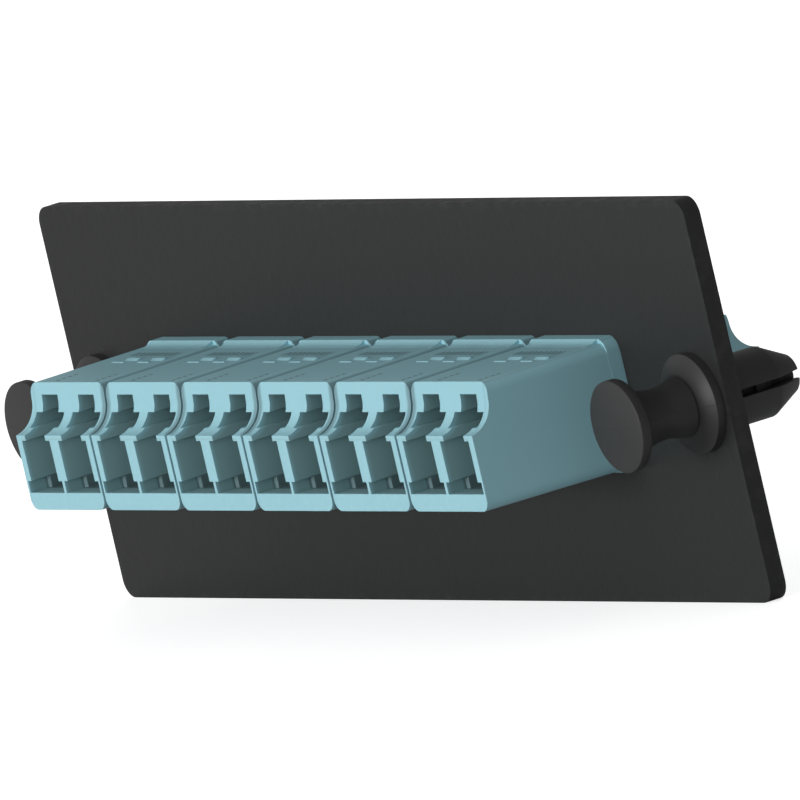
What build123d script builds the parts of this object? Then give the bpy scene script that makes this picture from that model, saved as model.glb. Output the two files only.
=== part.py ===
from build123d import *
import os
from math import radians, tan

# A fibre adapter panel: a steel plate with six duplex adapters side by side in one window
# and a push-pull fastener at each end. All sizes are in millimetres.
# The origin is midway between the fasteners on the plate's back face.
# +X runs along the plate, +Y goes back into the enclosure and +Z is up.

# Plate
plate_length = 109.2
plate_height = 35.1
plate_thickness = 1.6
plate_corner_radius = 1.6
fastener_inset = 4.85
window_clearance = 0.08

# Adapters in their row
adapter_count = 6
adapter_pitch = 12.97
adapter_gap = 0.07

# Adapter housings, each moulded as a front and a rear half that meet where the ferrules meet
half_length = 14.6
housing_height = 10.96
rear_height = 9.62
housing_corner_radius = 1.0
rear_edge_radius = 0.2
draft_angle = 0.5
web_thickness = 1.9
tongue_length = 1.2
tongue_wall = 1.0
tongue_clearance = 0.05

# Flange that stops on the plate's front face
flange_height = 11.72
flange_depth = 1.27
flange_corner_radius = 1.2
flange_blend = 1.1

# Scoop that lets a finger reach the latch of each connector
scoop_lip_height = 1.28
scoop_turn_depth = 2.33
scoop_turn_height = 4.0
scoop_radius = 2.73
scoop_depth = 2.58

# Ports, measured from the adapter's middle: the well for the connector body, the gap between
# the two lips over it, the track for the latch's ears and the slot for the latch itself
port_pitch = 6.25
well_width = 4.75
well_floor = -3.83
well_top = 0.81
lip_gap = 3.42
lip_top = 1.68
track_width = 4.81
track_top = 2.81
latch_width = 2.72
latch_top = 4.29
relief_width = 5.87
relief_top = -2.79
relief_depth = 1.9

# Catch pockets that the latch's ears spring up into, behind the mouth
catch_start = 4.6
catch_length = 3.6
catch_top = 3.6

# Split ceramic sleeves and the barrels that hold them. The barrels' rounds have few flats,
# because each adapter has eight of them.
ferrule_height = -1.51
sleeve_length = 6.8
sleeve_outer_radius = 0.81
sleeve_bore_radius = 0.625
sleeve_slit = 0.25
sleeve_play = 0.05
barrel_radius = 1.45
barrel_lip = 0.45
barrel_lip_radius = 0.7
barrel_flat_count = 12

# Snap ramps that hold the adapter behind the plate
snap_width = 5.0
snap_length = 2.6
snap_hold = 0.3
snap_play = 0.05
snap_root = 0.4

# Fastener grommets: a collar in front, split legs behind
collar_radius = 4.37
collar_rim = 0.83
collar_face_radius = 2.75
collar_depth = 1.64
neck_radius = 2.85
neck_clearance = 0.08
shoulder_play = 0.05
leg_radius = 3.1
leg_length = 4.95
nose_length = 2.78
nose_radius = 1.62
leg_slot = 0.73
slot_root = 0.8

# Fastener plungers: a knob with a waisted neck, and a captive shaft
knob_radius = 4.02
knob_thickness = 1.0
knob_reach = 6.6
neck_top_radius = 3.1
neck_base_radius = 2.65
waist_radius = 2.24
waist_start = 1.7
waist_length = 1.3
seat_gap = 0.05
shaft_radius = 1.47
shaft_clearance = 0.08
tip_radius = 0.92
tip_inset = 0.1
ring_radius = 1.9
ring_length = 0.9
ring_inset = 0.8
ring_play = 0.05
plunger_travel = 4.4

# Places along Y
plate_front = -plate_thickness
meeting_y = plate_front - tongue_length
front_mouth = meeting_y - half_length
rear_mouth = meeting_y + half_length
collar_front = plate_front - collar_depth

# Widths and heights that follow from the row
flange_width = adapter_pitch - adapter_gap
window_length = (adapter_count - 1) * adapter_pitch + flange_width + 2 * window_clearance
window_height = housing_height + 2 * window_clearance
adapter_places = [(i - (adapter_count - 1) / 2) * adapter_pitch for i in range(adapter_count)]
port_places = [-port_pitch / 2, port_pitch / 2]
fastener_x = plate_length / 2 - fastener_inset
fastener_places = {"left": -fastener_x, "right": fastener_x}


def across(y, outline):
    """An outline drawn in X and Z, stood at the given Y.

    Extruding it by a minus amount goes back along +Y.
    """
    return Plane.XZ.offset(-y) * outline


def side_prism(outline, width):
    """A closed outline drawn in Y and Z, carried over a width centred on X = 0."""
    return extrude(Plane.YZ * make_face(outline), amount=width / 2, both=True)


def make_plate():
    outline = RectangleRounded(plate_length, plate_height, plate_corner_radius)
    plate = extrude(across(0, outline), plate_thickness)
    window_outline = RectangleRounded(window_length, window_height, housing_corner_radius)
    plate -= extrude(across(0, window_outline), plate_thickness)
    for x in fastener_places.values():
        plate -= extrude(across(0, Pos(x, 0) * Circle(neck_radius + neck_clearance)), plate_thickness)
    return plate


def port_outline():
    """The stepped opening of one port, centred on X = 0."""
    levels = [
        (well_width, well_floor, well_top),
        (lip_gap, well_top, lip_top),
        (track_width, lip_top, track_top),
        (latch_width, track_top, latch_top),
    ]
    right = []
    for width, low, high in levels:
        right += [(width / 2, low), (width / 2, high)]
    left = [(-x, z) for x, z in reversed(right)]
    return make_face(Polyline(*right, *left, close=True))


def scoop_cutter():
    """The hollow cut over the lip of the mouth: back along a hollow arc, then up a leaning wall."""
    top = flange_height / 2
    lip = (0, scoop_lip_height)
    turn = (scoop_turn_depth, scoop_turn_height)
    outline = RadiusArc(lip, turn, -scoop_radius)
    clear = -scoop_depth
    outline += Polyline(turn, (scoop_depth, top), (clear, top), (clear, scoop_lip_height), lip)
    return side_prism(outline, flange_width)


def pocket(x, width, low, high, start, length):
    """A straight-sided pocket that starts at a depth behind the mouth."""
    outline = Pos(x, (low + high) / 2) * Rectangle(width, high - low)
    return extrude(across(start, outline), -length)


def rod(x, radius, start, end):
    """A bar or bore on a ferrule's line between two depths behind the mouth.

    Its flats lie just outside the radius.
    """
    outline = Pos(x, ferrule_height) * RegularPolygon(radius, barrel_flat_count, major_radius=False)
    return extrude(across(start, outline), start - end)


def drafted_body(seam, height, edge_radius):
    """The plain outer form, drafted from the seam to the mouth at Y = 0, its long edges rounded."""
    draft = seam * tan(radians(draft_angle))
    wide = flange_width
    centred = (Align.CENTER, Align.MIN, Align.CENTER)
    block = Wedge(wide, seam, height, draft, draft, wide - draft, height - draft, align=centred)
    block = Pos(0, seam, 0) * Rot(180, 0, 0) * block
    long_edges = block.edges().filter_by(Axis.X, reverse=True).filter_by(Axis.Z, reverse=True)
    return fillet(long_edges, edge_radius)


def hollowed(body):
    """The outer form of a half, mouth at Y = 0, with its scoop, ports and sleeve barrels made."""
    body -= scoop_cutter()
    port_depth = half_length - web_thickness
    sleeve_end = half_length - sleeve_length / 2 - sleeve_play
    for x in port_places:
        body -= extrude(across(0, Pos(x, 0) * port_outline()), -port_depth)
        body -= pocket(x, relief_width, well_floor, relief_top, 0, relief_depth)
        body -= pocket(x, track_width, lip_top, catch_top, catch_start, catch_length)
        body += rod(x, barrel_radius, sleeve_end - barrel_lip, port_depth)
    return body


def bore_out(half):
    """The sleeve pockets, open where the halves meet, and the holes through the barrels' lips."""
    sleeve_end = half_length - sleeve_length / 2 - sleeve_play
    for x in port_places:
        half -= rod(x, sleeve_outer_radius + sleeve_play, sleeve_end, half_length)
        half -= rod(x, barrel_lip_radius, sleeve_end - barrel_lip, half_length)
    return half


def tongue_outline(clearance):
    """The block of the rear half that enters the front one, or with a clearance its recess."""
    wall = tongue_wall - clearance
    return Rectangle(flange_width - 2 * wall, housing_height - 2 * wall)


def flange(seam):
    """The flange, and the hollow blends that run down to the body between its rounded corners."""
    outline = RectangleRounded(flange_width, flange_height, flange_corner_radius)
    plate_side = extrude(across(seam, outline), flange_depth)
    edge = seam - flange_depth
    body_top = housing_height / 2
    curve = TangentArc((edge - flange_blend, body_top), (edge, flange_height / 2), tangent=(1, 0))
    start = edge - flange_blend
    under = Polyline((edge, flange_height / 2), (edge, 0), (start, 0), (start, body_top))
    upper_blend = side_prism(curve + under, flange_width - 2 * flange_corner_radius)
    return plate_side + upper_blend + mirror(upper_blend, Plane.XY)


def snap_ramp():
    """A wedge on the rear half that rises towards the plate and stops just behind it."""
    high = window_height / 2 + snap_hold
    low = rear_height / 2 - snap_root
    stop = rear_mouth - snap_play
    outline = Polyline((stop - snap_length, low), (stop, high), (stop, low), close=True)
    ramp = side_prism(outline, snap_width)
    return ramp + mirror(ramp, Plane.XY)


def make_front_housing():
    seam = half_length + tongue_length
    body = drafted_body(seam, housing_height, housing_corner_radius)
    half = hollowed(body) + flange(seam)
    half -= extrude(across(half_length, tongue_outline(tongue_clearance)), -tongue_length)
    return Pos(0, front_mouth, 0) * bore_out(half)


def make_rear_housing():
    """The lower rear half, with a full-height block where it passes through the window."""
    seam = half_length - tongue_length
    body = drafted_body(seam, rear_height, rear_edge_radius)
    window_block = RectangleRounded(flange_width, housing_height, housing_corner_radius)
    body += extrude(across(seam, window_block), plate_thickness + snap_play)
    half = hollowed(body) + snap_ramp()
    half += extrude(across(seam, tongue_outline(0)), -tongue_length)
    return mirror(Pos(0, -rear_mouth, 0) * bore_out(half), Plane.XZ)


def make_sleeve():
    """A split ceramic ring on its own axis, slit along the top."""
    ring = Circle(sleeve_outer_radius) - Circle(sleeve_bore_radius)
    ring -= Pos(0, sleeve_outer_radius) * Rectangle(sleeve_slit, 2 * sleeve_outer_radius)
    return extrude(across(meeting_y, ring), sleeve_length / 2, both=True)


def make_grommet():
    """Turned outline from the collar to the nose, split into two legs.

    Inside it is the chamber in which the plunger's ring travels.
    """
    nose_end = leg_length + nose_length
    bore = shaft_radius + shaft_clearance
    chamber = ring_radius + shaft_clearance
    chamber_end = leg_length - ring_inset
    chamber_start = chamber_end - ring_length - plunger_travel - 2 * ring_play
    profile = Polyline(
        (bore, collar_front),
        (collar_face_radius, collar_front),
        (collar_radius, plate_front - collar_rim),
        (collar_radius, plate_front),
        (neck_radius, plate_front),
        (neck_radius, shoulder_play),
        (leg_radius, shoulder_play),
        (leg_radius, leg_length),
        (nose_radius, nose_end),
        (tip_radius + shaft_clearance, nose_end),
        (tip_radius + shaft_clearance, leg_length),
        (bore, leg_length),
        (bore, chamber_end),
        (chamber, chamber_end),
        (chamber, chamber_start),
        (bore, chamber_start),
        close=True,
    )
    turned = revolve(make_face(profile), Axis.Y)
    slot_start = plate_front + slot_root
    slot = Pos(0, (slot_start + nose_end) / 2, 0) * Box(2 * leg_radius, nose_end - slot_start, leg_slot)
    return turned - slot


def make_plunger():
    """Turned outline from the knob's face to the tip of the shaft, in its pushed-in place."""
    base = collar_front - seat_gap
    face = collar_front - knob_reach
    knob_back = face + knob_thickness
    waist_end = base - waist_start
    ring_end = leg_length - ring_inset - ring_play
    shaft_end = leg_length - ring_play
    tip = leg_length + nose_length - tip_inset
    profile = Polyline(
        (0, face),
        (knob_radius, face),
        (knob_radius, knob_back),
        (neck_top_radius, knob_back),
        (waist_radius, waist_end - waist_length),
        (waist_radius, waist_end),
        (neck_base_radius, base),
        (shaft_radius, base),
        (shaft_radius, ring_end - ring_length),
        (ring_radius, ring_end - ring_length),
        (ring_radius, ring_end),
        (shaft_radius, ring_end),
        (shaft_radius, shaft_end),
        (tip_radius, shaft_end),
        (tip_radius, tip),
        (0, tip),
        close=True,
    )
    return revolve(make_face(profile), Axis.Y)


def write(name, shape):
    export_step(shape, f"parts/{name}.step")


os.makedirs("parts", exist_ok=True)
write("plate", make_plate())
front_housing = make_front_housing()
rear_housing = make_rear_housing()
sleeve = make_sleeve()
for number, x in enumerate(adapter_places, start=1):
    write(f"front_housing_{number}", Pos(x, 0, 0) * front_housing)
    write(f"rear_housing_{number}", Pos(x, 0, 0) * rear_housing)
    for side, port in zip(("left", "right"), port_places):
        write(f"sleeve_{number}_{side}", Pos(x + port, 0, ferrule_height) * sleeve)
for side, x in fastener_places.items():
    write(f"grommet_{side}", Pos(x, 0, 0) * make_grommet())
    write(f"plunger_{side}", Pos(x, 0, 0) * make_plunger())
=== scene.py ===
# %% [markdown]
# # A fibre adapter panel in Blender
# The object is a black steel plate with six aqua duplex adapters side by side in one window and a
# push-pull fastener at each end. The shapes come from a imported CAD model, which is loaded as a
# fixed frame in metres. +X runs along the plate, +Y goes back into the enclosure and +Z is up, and
# the origin is on the plate's back face, midway between the fasteners.

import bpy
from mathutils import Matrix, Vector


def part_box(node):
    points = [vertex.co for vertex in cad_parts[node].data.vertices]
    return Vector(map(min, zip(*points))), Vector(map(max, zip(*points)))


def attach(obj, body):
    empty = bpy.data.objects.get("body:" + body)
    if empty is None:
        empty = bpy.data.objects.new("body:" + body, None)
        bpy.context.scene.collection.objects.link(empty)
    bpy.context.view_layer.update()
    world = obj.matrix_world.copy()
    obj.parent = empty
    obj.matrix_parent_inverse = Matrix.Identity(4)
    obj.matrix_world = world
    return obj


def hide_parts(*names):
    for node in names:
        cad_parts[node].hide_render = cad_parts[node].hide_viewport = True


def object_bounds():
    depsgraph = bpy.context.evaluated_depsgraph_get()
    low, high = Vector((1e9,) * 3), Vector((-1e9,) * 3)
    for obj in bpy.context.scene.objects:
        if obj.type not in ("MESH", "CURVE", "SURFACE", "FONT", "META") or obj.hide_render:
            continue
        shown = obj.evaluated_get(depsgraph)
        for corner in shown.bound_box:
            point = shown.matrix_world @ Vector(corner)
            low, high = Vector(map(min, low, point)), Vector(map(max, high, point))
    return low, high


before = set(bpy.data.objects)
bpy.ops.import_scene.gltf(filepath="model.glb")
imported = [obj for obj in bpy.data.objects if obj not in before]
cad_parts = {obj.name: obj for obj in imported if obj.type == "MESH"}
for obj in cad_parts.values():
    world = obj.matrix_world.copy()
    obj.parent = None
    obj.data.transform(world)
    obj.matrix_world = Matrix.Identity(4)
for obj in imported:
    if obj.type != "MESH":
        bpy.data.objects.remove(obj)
cad_low, cad_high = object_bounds()
print("CAD box from", [round(v, 5) for v in cad_low], "to", [round(v, 5) for v in cad_high])

# %% [markdown]
# ## Camera
# The photograph looks at the panel from its right, slightly from above, and the camera is rolled,
# so the plate's upright edges lean while its long edges stay level. The picture shows no
# perspective. An orthographic camera would give just that, but views from other sides then cut the
# panel off, so a very long lens far away comes close to it instead. The direction is built from an
# azimuth round the panel, an elevation and a roll about the line of sight.

# %% Place the camera
import bpy
from math import cos, pi, radians, sin
from mathutils import Matrix, Vector

MM = 0.001
azimuth, elevation, roll = radians(60.5), radians(7.54), radians(13.1)
view_width = 68.38 * MM
lens, sensor = 1600.0, 36.0
target = Vector((0.222, -1.6, 0.184)) * MM

right = Vector((cos(azimuth), sin(azimuth), 0.0))
up = Vector((-sin(azimuth) * sin(elevation), cos(azimuth) * sin(elevation), cos(elevation)))
back = Vector((sin(azimuth) * cos(elevation), -cos(azimuth) * cos(elevation), sin(elevation)))
rolled_right = cos(roll) * right - sin(roll) * up
rolled_up = sin(roll) * right + cos(roll) * up
distance = view_width * lens / sensor

camera_data = bpy.data.cameras.new("camera")
camera_data.lens, camera_data.sensor_width = lens, sensor
camera_data.clip_start, camera_data.clip_end = 0.1, 20.0
camera = bpy.data.objects.new("camera", camera_data)
bpy.context.scene.collection.objects.link(camera)
axes = Matrix((rolled_right, rolled_up, back)).transposed().to_4x4()
camera.matrix_world = Matrix.Translation(target + back * distance) @ axes
bpy.context.scene.camera = camera
print(f"camera {distance:.2f} m away, seeing {view_width / MM:.1f} mm across")

# %% [markdown]
# ## Writing nodes as sums
# A material or a sky is a tree of small nodes. Adding and wiring each one by hand hides what it
# computes, so two small classes do it: Graph makes a node from its type, its settings and the
# values or wires of its sockets, and Wire stands for a number that changes over the surface. Adding
# or multiplying wires adds the Math nodes that do the same to the number.

# %% Wire, a number that changes over the surface


class Wire:
    """An output socket. Adding or multiplying it adds the Math node that does so."""

    def __init__(self, graph, socket):
        self.graph, self.socket = graph, socket

    def maths(self, operation, first, second=0.0):
        return self.graph.add("ShaderNodeMath", {"operation": operation}, {0: first, 1: second})

    def __add__(self, other):
        return self.maths("ADD", self, other)

    def __radd__(self, other):
        return self.maths("ADD", other, self)

    def __sub__(self, other):
        return self.maths("SUBTRACT", self, other)

    def __rsub__(self, other):
        return self.maths("SUBTRACT", other, self)

    def __mul__(self, other):
        return self.maths("MULTIPLY", self, other)

    def __rmul__(self, other):
        return self.maths("MULTIPLY", other, self)

    def __abs__(self):
        return self.maths("ABSOLUTE", self)

    def larger(self, other):
        return self.maths("MAXIMUM", self, other)

    def smaller(self, other):
        return self.maths("MINIMUM", self, other)

    def wrapped(self, low, high):
        """This number carried round between low and high, so that a pattern repeats."""
        return self.graph.add("ShaderNodeMath", {"operation": "WRAP"}, {0: self, 1: high, 2: low})

    def band(self, low, high):
        """0 below low, 1 above high and a smooth rise between, or a fall if low is the larger."""
        settings = {"interpolation_type": "SMOOTHSTEP"}
        sockets = {"Value": self, "From Min": low, "From Max": high}
        return self.graph.add("ShaderNodeMapRange", settings, sockets)

    def within(self, low, high, soft=0.08 * MM):
        """1 between two values and 0 outside them, with soft ends."""
        half = (high - low) / 2
        return abs(self - (low + high) / 2).band(half, half - soft)

    def wave(self, length):
        """Ripples from 0 to 1 and back, one for every length of this number."""
        return 0.5 + 0.5 * self.maths("SINE", self * (2 * pi / length))


print("Wire ready")

# %% Graph, a tree of nodes


class Graph:
    """The node tree of a material or a sky, emptied and built again."""

    def __init__(self, owner):
        owner.use_nodes = True
        self.tree = owner.node_tree
        self.tree.nodes.clear()

    def add(self, kind, settings=None, sockets=None, out=0):
        """Adds a node: settings first, then a value or a wire for each socket. Gives its output."""
        node = self.tree.nodes.new(kind)
        for key, value in (settings or {}).items():
            setattr(node, key, value)
        for key, value in (sockets or {}).items():
            if isinstance(value, Wire):
                self.tree.links.new(value.socket, node.inputs[key])
            else:
                node.inputs[key].default_value = value
        return Wire(self, node.outputs[out]) if node.outputs else None

    def axes(self, coordinates="Object"):
        """The X, Y and Z of the point on the surface in metres, or of the direction in a sky."""
        point = self.add("ShaderNodeTexCoord", out=coordinates)
        split = self.add("ShaderNodeSeparateXYZ", None, {"Vector": point})
        return [Wire(self, socket) for socket in split.socket.node.outputs]

    def distance(self, across, up):
        """How far a point is from an axis, from its two distances at right angles."""
        offset = self.add("ShaderNodeCombineXYZ", None, {"X": across, "Z": up})
        return self.add("ShaderNodeVectorMath", {"operation": "LENGTH"}, {0: offset}, out="Value")

    def noise(self, grain, detail=2.0, stretch=(1, 1, 1)):
        """Soft random patches about this many metres across, from 0 to 1."""
        point = self.add("ShaderNodeTexCoord", out="Object")
        sockets = {"Vector": point, "Scale": stretch}
        point = self.add("ShaderNodeMapping", {"vector_type": "POINT"}, sockets)
        sockets = {"Vector": point, "Scale": 1.0 / grain, "Detail": detail}
        return self.add("ShaderNodeTexNoise", {"noise_dimensions": "3D"}, sockets)

    def mix(self, share, first, second):
        """A colour between two, or a wire's colour where one is given."""
        sockets = {0: share, 6: first, 7: second}
        return self.add("ShaderNodeMix", {"data_type": "RGBA"}, sockets, out=2)

    def bump(self, height, depth, under=None):
        """A normal tilted by a height of this many metres, on top of another bump if given."""
        sockets = {"Height": height, "Distance": depth, "Strength": 1.0}
        if under is not None:
            sockets["Normal"] = under
        return self.add("ShaderNodeBump", None, sockets)

    def surface(self, sockets):
        """The shader of a solid surface, with its constants and its wires."""
        shader = self.add("ShaderNodeBsdfPrincipled", None, sockets)
        self.add("ShaderNodeOutputMaterial", None, {"Surface": shader})


def shade(red, green, blue):
    """A colour in linear light, as a socket takes it."""
    return (red, green, blue, 1.0)


print("Graph ready")

# %% [markdown]
# ## Sky
# A white sky fills the shadows. A picture of a studio could be wrapped round the scene instead, but
# two levels are enough and need no file: the sky is brighter in front than behind, as in a studio
# whose lamps stand beside the camera, so its level follows the direction along Y. The camera sees
# plain white, but the object is lit by the dimmer levels. Light Path tells the two kinds of ray
# apart.

# %% A white sky, dimmer behind
SKY_WHITE = 1.0
SKY_FRONT, SKY_BACK = 0.64, 0.12

bpy.context.scene.view_settings.view_transform = "Standard"
world = bpy.data.worlds.new("sky")
bpy.context.scene.world = world
sky = Graph(world)
backwards = sky.axes("Generated")[1]
level = (SKY_FRONT + SKY_BACK) / 2 + backwards * ((SKY_BACK - SKY_FRONT) / 2)
to_camera = sky.add("ShaderNodeLightPath", out="Is Camera Ray")
strength = level + to_camera * (SKY_WHITE - level)
glow = sky.add("ShaderNodeBackground", None, {"Color": shade(1, 1, 1), "Strength": strength})
sky.add("ShaderNodeOutputWorld", None, {"Surface": glow})
print("sky nodes:", len(world.node_tree.nodes))

# %% [markdown]
# ## Lamps
# One soft lamp almost straight in front lights what faces forward, and a weaker one behind, to the
# left, does the same for the back. The one behind is hidden from mirror-like rays, so it leaves no
# highlight on the round noses of the fasteners. A lamp's power in watts says little, so each is
# given the level at which a white sheet that faces it at the origin would render, and the power
# follows from its distance.

# %% Two soft lamps


def soft_lamp(name, place, size, level):
    """A square lamp aimed at the origin that lights a white sheet there to this level."""
    data = bpy.data.lights.new(name, "AREA")
    data.shape, data.size = "SQUARE", size
    data.energy = level * pi * pi * place.length_squared
    lamp = bpy.data.objects.new(name, data)
    bpy.context.scene.collection.objects.link(lamp)
    lamp.location = place
    lamp.rotation_euler = (-place).to_track_quat("-Z", "Y").to_euler()
    return lamp


front_lamp = soft_lamp("front_lamp", Vector((0.15, -1.50, 0.08)), size=0.5, level=0.85)
back_lamp = soft_lamp("back_lamp", Vector((-1.00, 1.10, 0.35)), size=1.2, level=0.75)
back_lamp.visible_glossy = False
print(f"front lamp {front_lamp.data.energy:.1f} W, back lamp {back_lamp.data.energy:.1f} W")

# %% [markdown]
# ## Selecting by place
# In a window one clicks on what the next tool should act on. A script picks it by position
# instead: everything is deselected first, and then the edges that pass a test are selected. The
# test looks at where an edge's ends are or which way the faces beside it point.

# %% Selection helpers
import bmesh


def nothing_selected():
    """Leaves edit mode and deselects every object."""
    if bpy.context.object and bpy.context.object.mode != "OBJECT":
        bpy.ops.object.mode_set(mode="OBJECT")
    bpy.ops.object.select_all(action="DESELECT")


def only(piece):
    """Makes a piece the active one and the only one selected."""
    nothing_selected()
    piece.select_set(True)
    bpy.context.view_layer.objects.active = piece
    return piece


def edit(piece):
    """Enters edit mode on a piece with nothing on it selected."""
    only(piece)
    bpy.ops.object.mode_set(mode="EDIT")
    bpy.ops.mesh.select_all(action="DESELECT")


def select_edges(test):
    """Selects the edges of the piece being edited for which test(edge) is true, and counts them."""
    bpy.ops.mesh.select_mode(type="EDGE")
    mesh = bmesh.from_edit_mesh(bpy.context.object.data)
    for edge in mesh.edges:
        edge.select_set(bool(test(edge)))
    mesh.select_flush_mode()
    bmesh.update_edit_mesh(bpy.context.object.data)
    return sum(edge.select for edge in mesh.edges)


def settle(piece):
    """Puts a piece's place into its mesh, so that its object sits at the origin."""
    only(piece)
    bpy.ops.object.transform_apply(location=True, rotation=True, scale=True)
    return piece


print("helpers ready; selected objects:", len(bpy.context.selected_objects))

# %% [markdown]
# ## Floor
# The floor is one large pale sheet under the plate's lower edge. A white floor would need more
# light on it than the object can take, so it adds a glow of its own, for the camera alone. The glow
# is just what its shade lacks of the sky's white, so the floor melts into the backdrop and still
# keeps the panel's soft shadow. The sheet's underside is clear, so the panel also shows to a camera
# below it.

# %% A pale floor
FLOOR_SIZE = 8.0
FLOOR_GREY = 0.70
FLOOR_GLOW = SKY_WHITE - FLOOR_GREY * (SKY_FRONT + SKY_BACK) / 2

nothing_selected()
bpy.ops.mesh.primitive_plane_add(size=FLOOR_SIZE, location=(0, 0, cad_low.z))
floor = settle(bpy.context.object)
floor.name = "floor"
floor_paint = bpy.data.materials.new("floor_white")
g = Graph(floor_paint)
matte = g.add("ShaderNodeBsdfDiffuse", None, {"Color": shade(FLOOR_GREY, FLOOR_GREY, FLOOR_GREY)})
seen = g.add("ShaderNodeLightPath", out="Is Camera Ray")
glow = g.add("ShaderNodeEmission", None, {"Strength": seen * FLOOR_GLOW})
both = g.add("ShaderNodeAddShader", None, {0: matte, 1: glow})
underside = g.add("ShaderNodeNewGeometry", out="Backfacing")
clear = g.add("ShaderNodeBsdfTransparent")
one_sided = g.add("ShaderNodeMixShader", None, {0: underside, 1: both, 2: clear})
g.add("ShaderNodeOutputMaterial", None, {"Surface": one_sided})
floor.data.materials.append(floor_paint)
print(f"floor at Z = {cad_low.z / MM:.2f} mm")

# %% [markdown]
# ## Powder coat on the steel plate
# The coat is baked black powder: matte, with the soft orange-peel ripple that powder leaves, a
# fine grain on top, and faint polished rings where the fasteners have been pushed in and out. A
# photographed texture would need unwrapping and would repeat, so noise in the object's own space
# makes it instead: one coarse and one fine noise feed the bumps. The border, where the plate has
# been handled, is slightly greyer. The distance to the border finds it, broken up by more noise.

# %% Black powder coat
plate_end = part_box("plate")[1]
fastener_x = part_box("plunger_right")[0].x / 2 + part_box("plunger_right")[1].x / 2
collar_radius = (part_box("grommet_right")[1].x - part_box("grommet_right")[0].x) / 2
BORDER_WIDTH, RUBBED_WIDTH = 0.9 * MM, 1.2 * MM
RIPPLE_DEPTH, COAT_GRAIN_DEPTH = 0.030 * MM, 0.006 * MM
COAT_DARK, COAT_PALE = shade(0.0135, 0.0142, 0.0138), shade(0.0165, 0.0172, 0.0168)
COAT_GRAIN, COAT_WORN = shade(0.026, 0.027, 0.026), shade(0.038, 0.038, 0.037)

powder = bpy.data.materials.new("powder_coat_black")
g = Graph(powder)
x, _, z = g.axes()
ripple = g.noise(1.1 * MM, 1.0)
grain = g.noise(0.16 * MM, 3.0)
clouds = g.noise(22 * MM, 3.0)
border = (abs(x) - plate_end.x).larger(abs(z) - plate_end.z).band(-BORDER_WIDTH, 0.0)
ring = g.distance(abs(x) - fastener_x, z).band(collar_radius + RUBBED_WIDTH, collar_radius)
rub = ring * g.noise(0.5 * MM, 4.0).band(0.45, 0.7)
worn = (border * g.noise(1.6 * MM, 4.0).band(0.42, 0.75)).larger(rub * 0.6)
base = g.mix(clouds, COAT_DARK, COAT_PALE)
base = g.mix(grain.band(0.35, 0.75) * 0.35, base, COAT_GRAIN)
base = g.mix(worn * 0.45, base, COAT_WORN)
g.surface({
    "Base Color": base,
    "Roughness": 0.46 + 0.12 * clouds - 0.10 * worn,
    "Specular IOR Level": 0.36,
    "Normal": g.bump(grain, COAT_GRAIN_DEPTH, g.bump(ripple, RIPPLE_DEPTH)),
})
print("powder coat nodes:", len(powder.node_tree.nodes))

# %% [markdown]
# ## Where things are on an adapter
# Marks and painted shade could be put on each adapter by hand, but they are all alike, so their
# plastic is described once and carried along the row: X is wrapped round at the pitch, which gives
# each adapter a local X with 0 in its middle. Depth is measured inwards from the nearer mouth, so
# front and rear halves share what is written for one.

# %% Sizes that the plastic needs
mouth_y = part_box("front_housing_1")[0].y
rear_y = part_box("rear_housing_1")[1].y
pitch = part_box("front_housing_2")[0].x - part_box("front_housing_1")[0].x
row_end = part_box("front_housing_6")[1].x

# Plain sunken ticks on the top: a row near the flange and two columns near the mouth
TOP_Z = 5.0 * MM
ROW_X, ROW_Y, ROW_STEP = (-3.6 * MM, 4.3 * MM), (-6.4 * MM, -5.3 * MM), 0.8 * MM
LEFT_COLUMN_X, RIGHT_COLUMN_X = (-2.7 * MM, -2.1 * MM), (4.2 * MM, 4.7 * MM)
COLUMN_Y, COLUMN_STEP = (-14.5 * MM, -12.0 * MM), 0.6 * MM

# The wells, the nook at the bottom of each, and the slots over them, behind the scoop's arc, where
# painted shade goes
WELL_X, WELL_Z = 6.12 * MM, (-3.95 * MM, 0.95 * MM)
SLOT_X, SLOT_Z = 5.65 * MM, (0.85 * MM, 4.35 * MM)
NOOK_Z, NOOK_DEPTH = (-3.95 * MM, -2.70 * MM), 1.5 * MM
SCOOP_DEPTH, SCOOP_Z, SCOOP_REACH = -0.40 * MM, 3.98 * MM, 2.80 * MM

# Painted shade between neighbours, for the shadow in the valley, starts and is full this far off
# the middle of the gap. It is left off a margin at each end of the row, and fades in from there
VALLEY_SHADE_START, VALLEY_SHADE_FULL = 0.95 * MM, 0.45 * MM
ROW_MARGIN, ROW_FADE = 0.4 * MM, 0.5 * MM
print(f"adapters every {pitch / MM:.2f} mm along X")
print(f"front mouths at Y = {mouth_y / MM:.1f} mm, rear ones at {rear_y / MM:.1f} mm")

# %% [markdown]
# ## Moulded aqua plastic
# The housings are glass-filled thermoplastic from a spark-eroded mould: matte aqua with a fine
# even grain, faint clouds where the melt flowed, and a slightly paler, smoother rim at each mouth
# where connectors rub. The colours are written in linear light. A small Bevel node softens the
# light on edges that are too fine to model. Rows of plain sunken ticks stand where a maker would
# mould its marks. They could be cut into the mesh, but they are only hundredths of a millimetre
# deep, so a repeating wave, cut off outside a rectangle, feeds a bump instead. Painted shade
# darkens the insides of the ports, more so further in, and the valleys between the adapters.

# %% Masks: marks, ports and valleys
aqua = bpy.data.materials.new("adapter_plastic_aqua")
g = Graph(aqua)
x, y, z = g.axes()
local = (x - pitch / 2).wrapped(-pitch / 2, pitch / 2)
inward = (y - mouth_y).smaller(rear_y - y)

row = local.wave(ROW_STEP).band(0.3, 0.5) * local.within(*ROW_X) * y.within(*ROW_Y)
columns = local.within(*LEFT_COLUMN_X).larger(local.within(*RIGHT_COLUMN_X))
columns = y.wave(COLUMN_STEP).band(0.3, 0.5) * y.within(*COLUMN_Y) * columns
engraved = row.larger(columns) * z.band(TOP_Z, TOP_Z + 0.2 * MM)

# Painted shade inside the ports: the wells from the mouth in, and the slots behind the scoop's arc
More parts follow.
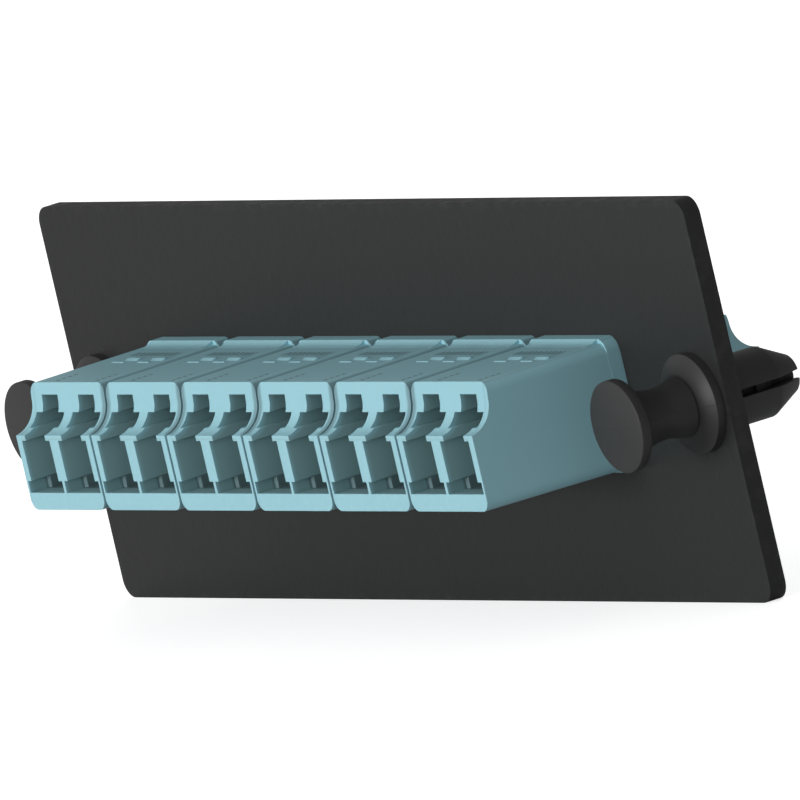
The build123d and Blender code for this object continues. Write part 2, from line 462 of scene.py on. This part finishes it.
from_scoop = g.distance(inward - SCOOP_DEPTH, z - SCOOP_Z)
behind_scoop = from_scoop.band(SCOOP_REACH, SCOOP_REACH + 0.5 * MM)
well = local.within(-WELL_X, WELL_X) * z.within(*WELL_Z) * inward.band(0.0, 0.5 * MM)
slot = local.within(-SLOT_X, SLOT_X) * z.within(*SLOT_Z) * behind_scoop
inside = well.larger(slot)
nook = z.within(*NOOK_Z) * inward.band(NOOK_DEPTH, NOOK_DEPTH + 0.35 * MM) * 0.75
# Deeper painted shade in each well's nook and further into the ports
deep_shade = inside * nook.larger(inward.band(3 * MM, 8 * MM) * 0.7)

# Painted shade in the valleys between neighbouring adapters
between = abs(local).band(pitch / 2 - VALLEY_SHADE_START, pitch / 2 - VALLEY_SHADE_FULL)
within_row = abs(x).band(row_end - ROW_MARGIN, row_end - ROW_MARGIN - ROW_FADE)
valley_shade = between * within_row * inward.band(0.1 * MM, 0.4 * MM)
print("mask nodes:", len(aqua.node_tree.nodes))

# %% Colour and grain
AQUA_DEEP, AQUA_LIGHT = shade(0.300, 0.578, 0.652), shade(0.328, 0.606, 0.684)
AQUA_GRAIN, AQUA_SCUFFED = shade(0.27, 0.53, 0.60), shade(0.42, 0.69, 0.76)
# The ticks' own dark colour, and painted shade for the valleys
TICK_SHADE, VALLEY_PAINTED_SHADE = shade(0.06, 0.12, 0.14), shade(0.08, 0.14, 0.16)
# Painted shade for the insides of the ports, and darker painted shade deeper in
PORT_PAINTED_SHADE, PORT_DEEP_SHADE = shade(0.267, 0.450, 0.475), shade(0.10, 0.15, 0.16)
TICK_DEPTH, AQUA_GRAIN_DEPTH, EDGE_RADIUS = 0.04 * MM, 0.0035 * MM, 0.09 * MM

flow = g.noise(7 * MM, 3.0, (1.0, 0.35, 1.0))
grain = g.noise(0.09 * MM, 2.0)
rim = inward.band(0.35 * MM, 0.0)
scuff = rim * g.noise(0.6 * MM, 4.0).band(0.4, 0.8)
base = g.mix(flow, AQUA_DEEP, AQUA_LIGHT)
base = g.mix(grain.band(0.3, 0.8) * 0.18, base, AQUA_GRAIN)
base = g.mix(scuff * 0.25, base, AQUA_SCUFFED)
base = g.mix(engraved * 0.75, base, TICK_SHADE)
# Painted shade: the valleys between adapters, the port insides, and deeper in the ports
base = g.mix(valley_shade * 0.6, base, VALLEY_PAINTED_SHADE)
base = g.mix(inside, base, PORT_PAINTED_SHADE)
base = g.mix(deep_shade, base, PORT_DEEP_SHADE)
rounded = g.add("ShaderNodeBevel", {"samples": 4}, {"Radius": EDGE_RADIUS})
g.surface({
    "Base Color": base,
    "Roughness": 0.44 + 0.10 * flow - 0.08 * rim,
    "Normal": g.bump(0.0 - engraved, TICK_DEPTH, g.bump(grain, AQUA_GRAIN_DEPTH, rounded)),
})
print("adapter plastic nodes:", len(aqua.node_tree.nodes))

# %% [markdown]
# ## Black nylon of the fasteners
# The plungers and grommets are unfilled black nylon. It is a little glossier than the plate, with
# a very fine grain, faint turned rings from the mould insert on the round faces, and a hair-thin
# parting line that runs along both sides. The rings follow the distance from each fastener's axis,
# so the same material serves both fasteners.

# %% Black nylon
NYLON_DARK, NYLON_PALE = shade(0.0295, 0.0295, 0.0295), shade(0.0355, 0.0355, 0.0355)
NYLON_GRAIN = shade(0.040, 0.040, 0.040)
NYLON_GRAIN_DEPTH, RING_DEPTH, PARTING_DEPTH = 0.004 * MM, 0.0012 * MM, 0.015 * MM
RING_STEP, PARTING_EDGE, PARTING_MIDDLE = 0.22 * MM, 0.09 * MM, 0.03 * MM

nylon = bpy.data.materials.new("nylon_black")
g = Graph(nylon)
x, _, z = g.axes()
grain = g.noise(0.12 * MM, 3.0)
clouds = g.noise(2.5 * MM, 3.0)
rings = g.distance(abs(x) - fastener_x, z).wave(RING_STEP)
parting = abs(z).band(PARTING_EDGE, PARTING_MIDDLE)
base = g.mix(clouds, NYLON_DARK, NYLON_PALE)
base = g.mix(grain.band(0.5, 0.8) * 0.3, base, NYLON_GRAIN)
normal = g.bump(rings, RING_DEPTH, g.bump(grain, NYLON_GRAIN_DEPTH))
g.surface({
    "Base Color": base,
    "Roughness": 0.43 + 0.10 * clouds,
    "Specular IOR Level": 0.36,
    "Normal": g.bump(parting, PARTING_DEPTH, normal),
})
print("nylon nodes:", len(nylon.node_tree.nodes))

# %% [markdown]
# ## Ceramic of the split sleeves
# The alignment sleeves deep in the ports are ground zirconia: off-white, dense and glossy, with
# fine grinding marks along their length. The marks are a noise whose Y is squeezed, which draws its
# patches out into streaks.

# %% Zirconia
ZIRCONIA_DARK, ZIRCONIA_PALE = shade(0.78, 0.76, 0.70), shade(0.86, 0.845, 0.80)
MARK_DEPTH = 0.0015 * MM

ceramic = bpy.data.materials.new("zirconia_white")
g = Graph(ceramic)
marks = g.noise(0.05 * MM, 2.0, (1.0, 0.04, 1.0))
clouds = g.noise(0.9 * MM, 2.0)
g.surface({
    "Base Color": g.mix(clouds, ZIRCONIA_DARK, ZIRCONIA_PALE),
    "Roughness": 0.14 + 0.12 * marks,
    "Normal": g.bump(marks, MARK_DEPTH),
})
print("ceramic nodes:", len(ceramic.node_tree.nodes))

# %% [markdown]
# ## Dress the CAD nodes
# A CAD solid whose shape is right stays as it is and only gets a better material in its slots. The
# node's name says what it is, so one loop does them all.

# %% Give each node its material
FINISHES = {
    "plate": powder, "front_housing": aqua, "rear_housing": aqua,
    "sleeve": ceramic, "grommet": nylon, "plunger": nylon,
}


def dress(piece, material):
    piece.data.materials.clear()
    piece.data.materials.append(material)


for name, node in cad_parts.items():
    for start, material in FINISHES.items():
        if name.startswith(start):
            dress(node, material)
print("dressed nodes:", len(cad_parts))

# %% [markdown]
# ## Turned pieces
# The plungers and grommets are round about their own axes. On a lathe, or in a mould, such a
# shape is one outline carried round. In Blender that outline can be spun, but here a ring of edges
# is drawn out along it instead: at each point the ring is extruded, moved and scaled to the next
# radius. That keeps every ring even, and the same few lines make both pieces. A closed outline
# comes back to its first ring, and merging by distance closes the wall.

# %% Draw a ring out along an outline
RING_POINTS = 72
MERGE_DISTANCE = 0.0005 * MM


def turned(name, outline, hollow=False):
    """Draws a ring round Y out along (y, radius) points in mm. A hollow outline is a closed one."""
    nothing_selected()
    y, radius = outline[0]
    bpy.ops.mesh.primitive_circle_add(
        vertices=RING_POINTS, radius=radius * MM, fill_type="NOTHING" if hollow else "NGON",
        location=(0, y * MM, 0), rotation=(pi / 2, 0, 0))
    piece = settle(bpy.context.object)
    piece.name = name
    bpy.ops.object.mode_set(mode="EDIT")
    bpy.ops.mesh.select_all(action="SELECT")
    for next_y, next_radius in outline[1:] + (outline[:1] if hollow else []):
        along = (0, (next_y - y) * MM, 0)
        bpy.ops.mesh.extrude_region_move(TRANSFORM_OT_translate={"value": along})
        if next_radius != radius:
            grow = next_radius / radius
            bpy.ops.transform.resize(value=(grow, 1, grow), center_override=(0, next_y * MM, 0))
        y, radius = next_y, next_radius
    bpy.ops.mesh.select_all(action="SELECT")
    bpy.ops.mesh.remove_doubles(threshold=MERGE_DISTANCE)
    bpy.ops.mesh.normals_make_consistent(inside=False)
    bpy.ops.object.mode_set(mode="OBJECT")
    return piece


print("turning tool ready, with", RING_POINTS, "points a ring")

# %% Shade, copy and clear away


def smooth(piece, degrees=30):
    """Smooth shading, except over edges sharper than this."""
    only(piece)
    bpy.ops.object.shade_smooth_by_angle(angle=radians(degrees))


def shifted(piece, name, x):
    """The piece copied with its own mesh and slid along X."""
    copy = piece.copy()
    copy.data = piece.data.copy()
    copy.name = name
    bpy.context.scene.collection.objects.link(copy)
    copy.location.x = x
    return settle(copy)


def discard(piece):
    bpy.data.objects.remove(piece, do_unlink=True)


print("finishing tools ready")

# %% [markdown]
# ## Plungers
# Each plunger is pushed in to spread the grommet's legs and pulled out to free the panel. Its knob
# has a flat face with a softened rim, and behind it a waisted neck for two fingers. The neck is a
# hollow curve. A few rings under a Subdivision Surface would round the sharp shoulders too, so it
# has many close rings and smooth shading instead. The shaft behind it is inside the grommet and
# shows only through the slots.

# %% Model one plunger
FACE_Y, SEAT_Y, TIP_Y = -9.84, -3.29, 7.63
rim = [(FACE_Y, 3.96), (FACE_Y + 0.015, 3.995), (FACE_Y + 0.04, 4.015), (FACE_Y + 0.08, 4.02),
       (-9.00, 4.02), (-8.92, 3.99), (-8.86, 3.93), (-8.84, 3.85)]
neck = [(-8.84, 3.22), (-8.56, 2.98), (-8.2, 2.80), (-7.8, 2.64), (-7.4, 2.52), (-7.0, 2.42),
        (-6.6, 2.33), (-6.2, 2.27), (-5.8, 2.24), (-5.4, 2.24), (-5.0, 2.29), (-4.6, 2.37),
        (-4.2, 2.46), (-3.8, 2.55), (SEAT_Y, 2.65)]
shaft = [(SEAT_Y, 1.47), (3.2, 1.47), (3.2, 1.9), (4.1, 1.9), (4.1, 1.47), (4.9, 1.47),
         (4.9, 0.92), (TIP_Y - 0.1, 0.92), (TIP_Y, 0.82)]
plunger = turned("plunger_model", rim + neck + shaft)
smooth(plunger)
dress(plunger, nylon)
print("plunger faces:", len(plunger.data.polygons))

# %% Put a plunger in each fastener
SIDES = {"left": -1, "right": 1}
for side, way in SIDES.items():
    knob = shifted(plunger, f"knob_{side}", way * fastener_x)
    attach(knob, f"plunger_{side}")
    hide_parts(f"plunger_{side}")
    low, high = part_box(f"plunger_{side}")
    print(knob.name, "X", round(low.x / MM, 2), "to", round(high.x / MM, 2), "mm in the CAD")
discard(plunger)

# %% [markdown]
# ## Grommets
# The grommet snaps into the plate: a coned collar in front, and behind it legs that the plunger
# spreads. It is a wall with a hole through it, so its outline is closed on itself. The slot that
# splits the legs could be opened face by face, but a Boolean modifier with a box cuts it straight
# through every wall at once. Its long edges behind the plate are then selected by their place and
# broken with a fine bevel, as the mould leaves them.

# %% Model one grommet
outside = [(-3.24, 2.80), (-3.21, 2.87), (-2.47, 4.31), (-2.41, 4.37), (-1.63, 4.37), (-1.6, 4.34),
           (-1.6, 2.85), (0.05, 2.85), (0.05, 3.04), (0.11, 3.1), (4.90, 3.1), (5.02, 3.06),
           (7.66, 1.68), (7.73, 1.60)]
inside = [(7.73, 1.0), (4.95, 1.0), (4.95, 1.55), (4.15, 1.55), (4.15, 1.98), (-1.25, 1.98),
          (-1.25, 1.55), (-3.24, 1.55)]
grommet = turned("grommet_model", outside + inside, hollow=True)
print("grommet faces before the slot:", len(grommet.data.polygons))

# %% Cut the slot that makes two legs of it
SLOT_GAP, SLOT_START, SLOT_END, SLOT_WIDTH = 0.73 * MM, -0.8 * MM, 9.0 * MM, 9.0 * MM
nothing_selected()
bpy.ops.mesh.primitive_cube_add(size=1, location=(0, (SLOT_START + SLOT_END) / 2, 0),
                                scale=(SLOT_WIDTH, SLOT_END - SLOT_START, SLOT_GAP))
cutter = settle(bpy.context.object)
cut = grommet.modifiers.new("slot", "BOOLEAN")
cut.operation, cut.solver, cut.object = "DIFFERENCE", "EXACT", cutter
only(grommet)
bpy.ops.object.modifier_apply(modifier=cut.name)
discard(cutter)
print("grommet faces with the slot:", len(grommet.data.polygons))

# %% Break the slot's edges
NEAR = 0.001 * MM
BEHIND_PLATE = 0.12 * MM
SLOT_BEVEL = 0.06 * MM


def at_slot_side(z):
    return abs(abs(z) - SLOT_GAP / 2) < NEAR


def on_slot_edge(edge):
    """True for an edge between the slot's wall and another face, behind the plate."""
    flat = [face for face in edge.link_faces if abs(face.normal.z) > 0.99]
    walls = [face for face in flat if at_slot_side(face.calc_center_median().z)]
    ends = [vertex.co for vertex in edge.verts]
    return len(walls) == 1 and all(at_slot_side(end.z) and end.y > BEHIND_PLATE for end in ends)


edit(grommet)
slot_edges = select_edges(on_slot_edge)
bpy.ops.mesh.bevel(offset=SLOT_BEVEL, segments=2, affect="EDGES", clamp_overlap=True)
smooth(grommet)
dress(grommet, nylon)
print("slot edges broken:", slot_edges, "of a grommet with faces:", len(grommet.data.polygons))

# %% Put a grommet in each hole
for side, way in SIDES.items():
    collar = shifted(grommet, f"collar_{side}", way * fastener_x)
    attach(collar, "panel")
    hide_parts(f"grommet_{side}")
    print(collar.name, "riding on panel")
discard(grommet)

# %% [markdown]
# ## Raised bars on the adapters
# Behind the mouth, the top of each adapter carries two pairs of low raised bars, a short and a long
# one in each. Their sloping fronts catch the lamp. A bump in the material would show no height from
# the side, so they are modelled. Each bar is a cube at its size and place. Its top front edge is
# pulled back to make the slope, its upper edges are broken by a bevel, and the four are joined into
# one piece that is copied from adapter to adapter. Their roots are sunk a little into the adapter.

# %% Model the bars of one adapter
# Middle X and Y, width, length and top of each, in mm
BARS = [(-1.57, -8.7, 2.0, 0.35, 5.50), (2.83, -8.7, 1.9, 0.35, 5.50),
        (-0.3, -7.95, 2.1, 0.80, 5.60), (4.1, -7.95, 2.1, 0.80, 5.60)]
BAR_ROOT = 5.3
BAR_SLOPE = 0.8
BAR_BEVEL = 0.03 * MM


def bar(x, y, wide, long, top):
    """A bar of this width and length on its middle point, with its top at this height."""
    nothing_selected()
    bpy.ops.mesh.primitive_cube_add(size=1, location=(x * MM, y * MM, (BAR_ROOT + top) / 2 * MM),
                                    scale=(wide * MM, long * MM, (top - BAR_ROOT) * MM))
    piece = settle(bpy.context.object)
    edit(piece)
    high = top * MM - NEAR
    select_edges(lambda edge: all(v.co.z > high and v.co.y < y * MM for v in edge.verts))
    bpy.ops.transform.translate(value=(0, BAR_SLOPE * long * MM, 0))
    select_edges(lambda edge: any(v.co.z > high for v in edge.verts))
    bpy.ops.mesh.bevel(offset=BAR_BEVEL, segments=2, affect="EDGES")
    nothing_selected()
    return piece


pieces = [bar(*sizes) for sizes in BARS]
only(pieces[0])
for piece in pieces:
    piece.select_set(True)
bpy.ops.object.join()
bars = bpy.context.object
smooth(bars)
dress(bars, aqua)
print("faces in the four bars:", len(bars.data.polygons))

# %% Put the bars on each adapter
for name in sorted(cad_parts):
    if name.startswith("front_housing"):
        low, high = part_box(name)
        piece = shifted(bars, name.replace("front_housing", "top_bars"), (low.x + high.x) / 2)
        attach(piece, "panel")
        print(piece.name, "at X", round((low.x + high.x) / 2 / MM, 2), "mm")
discard(bars)
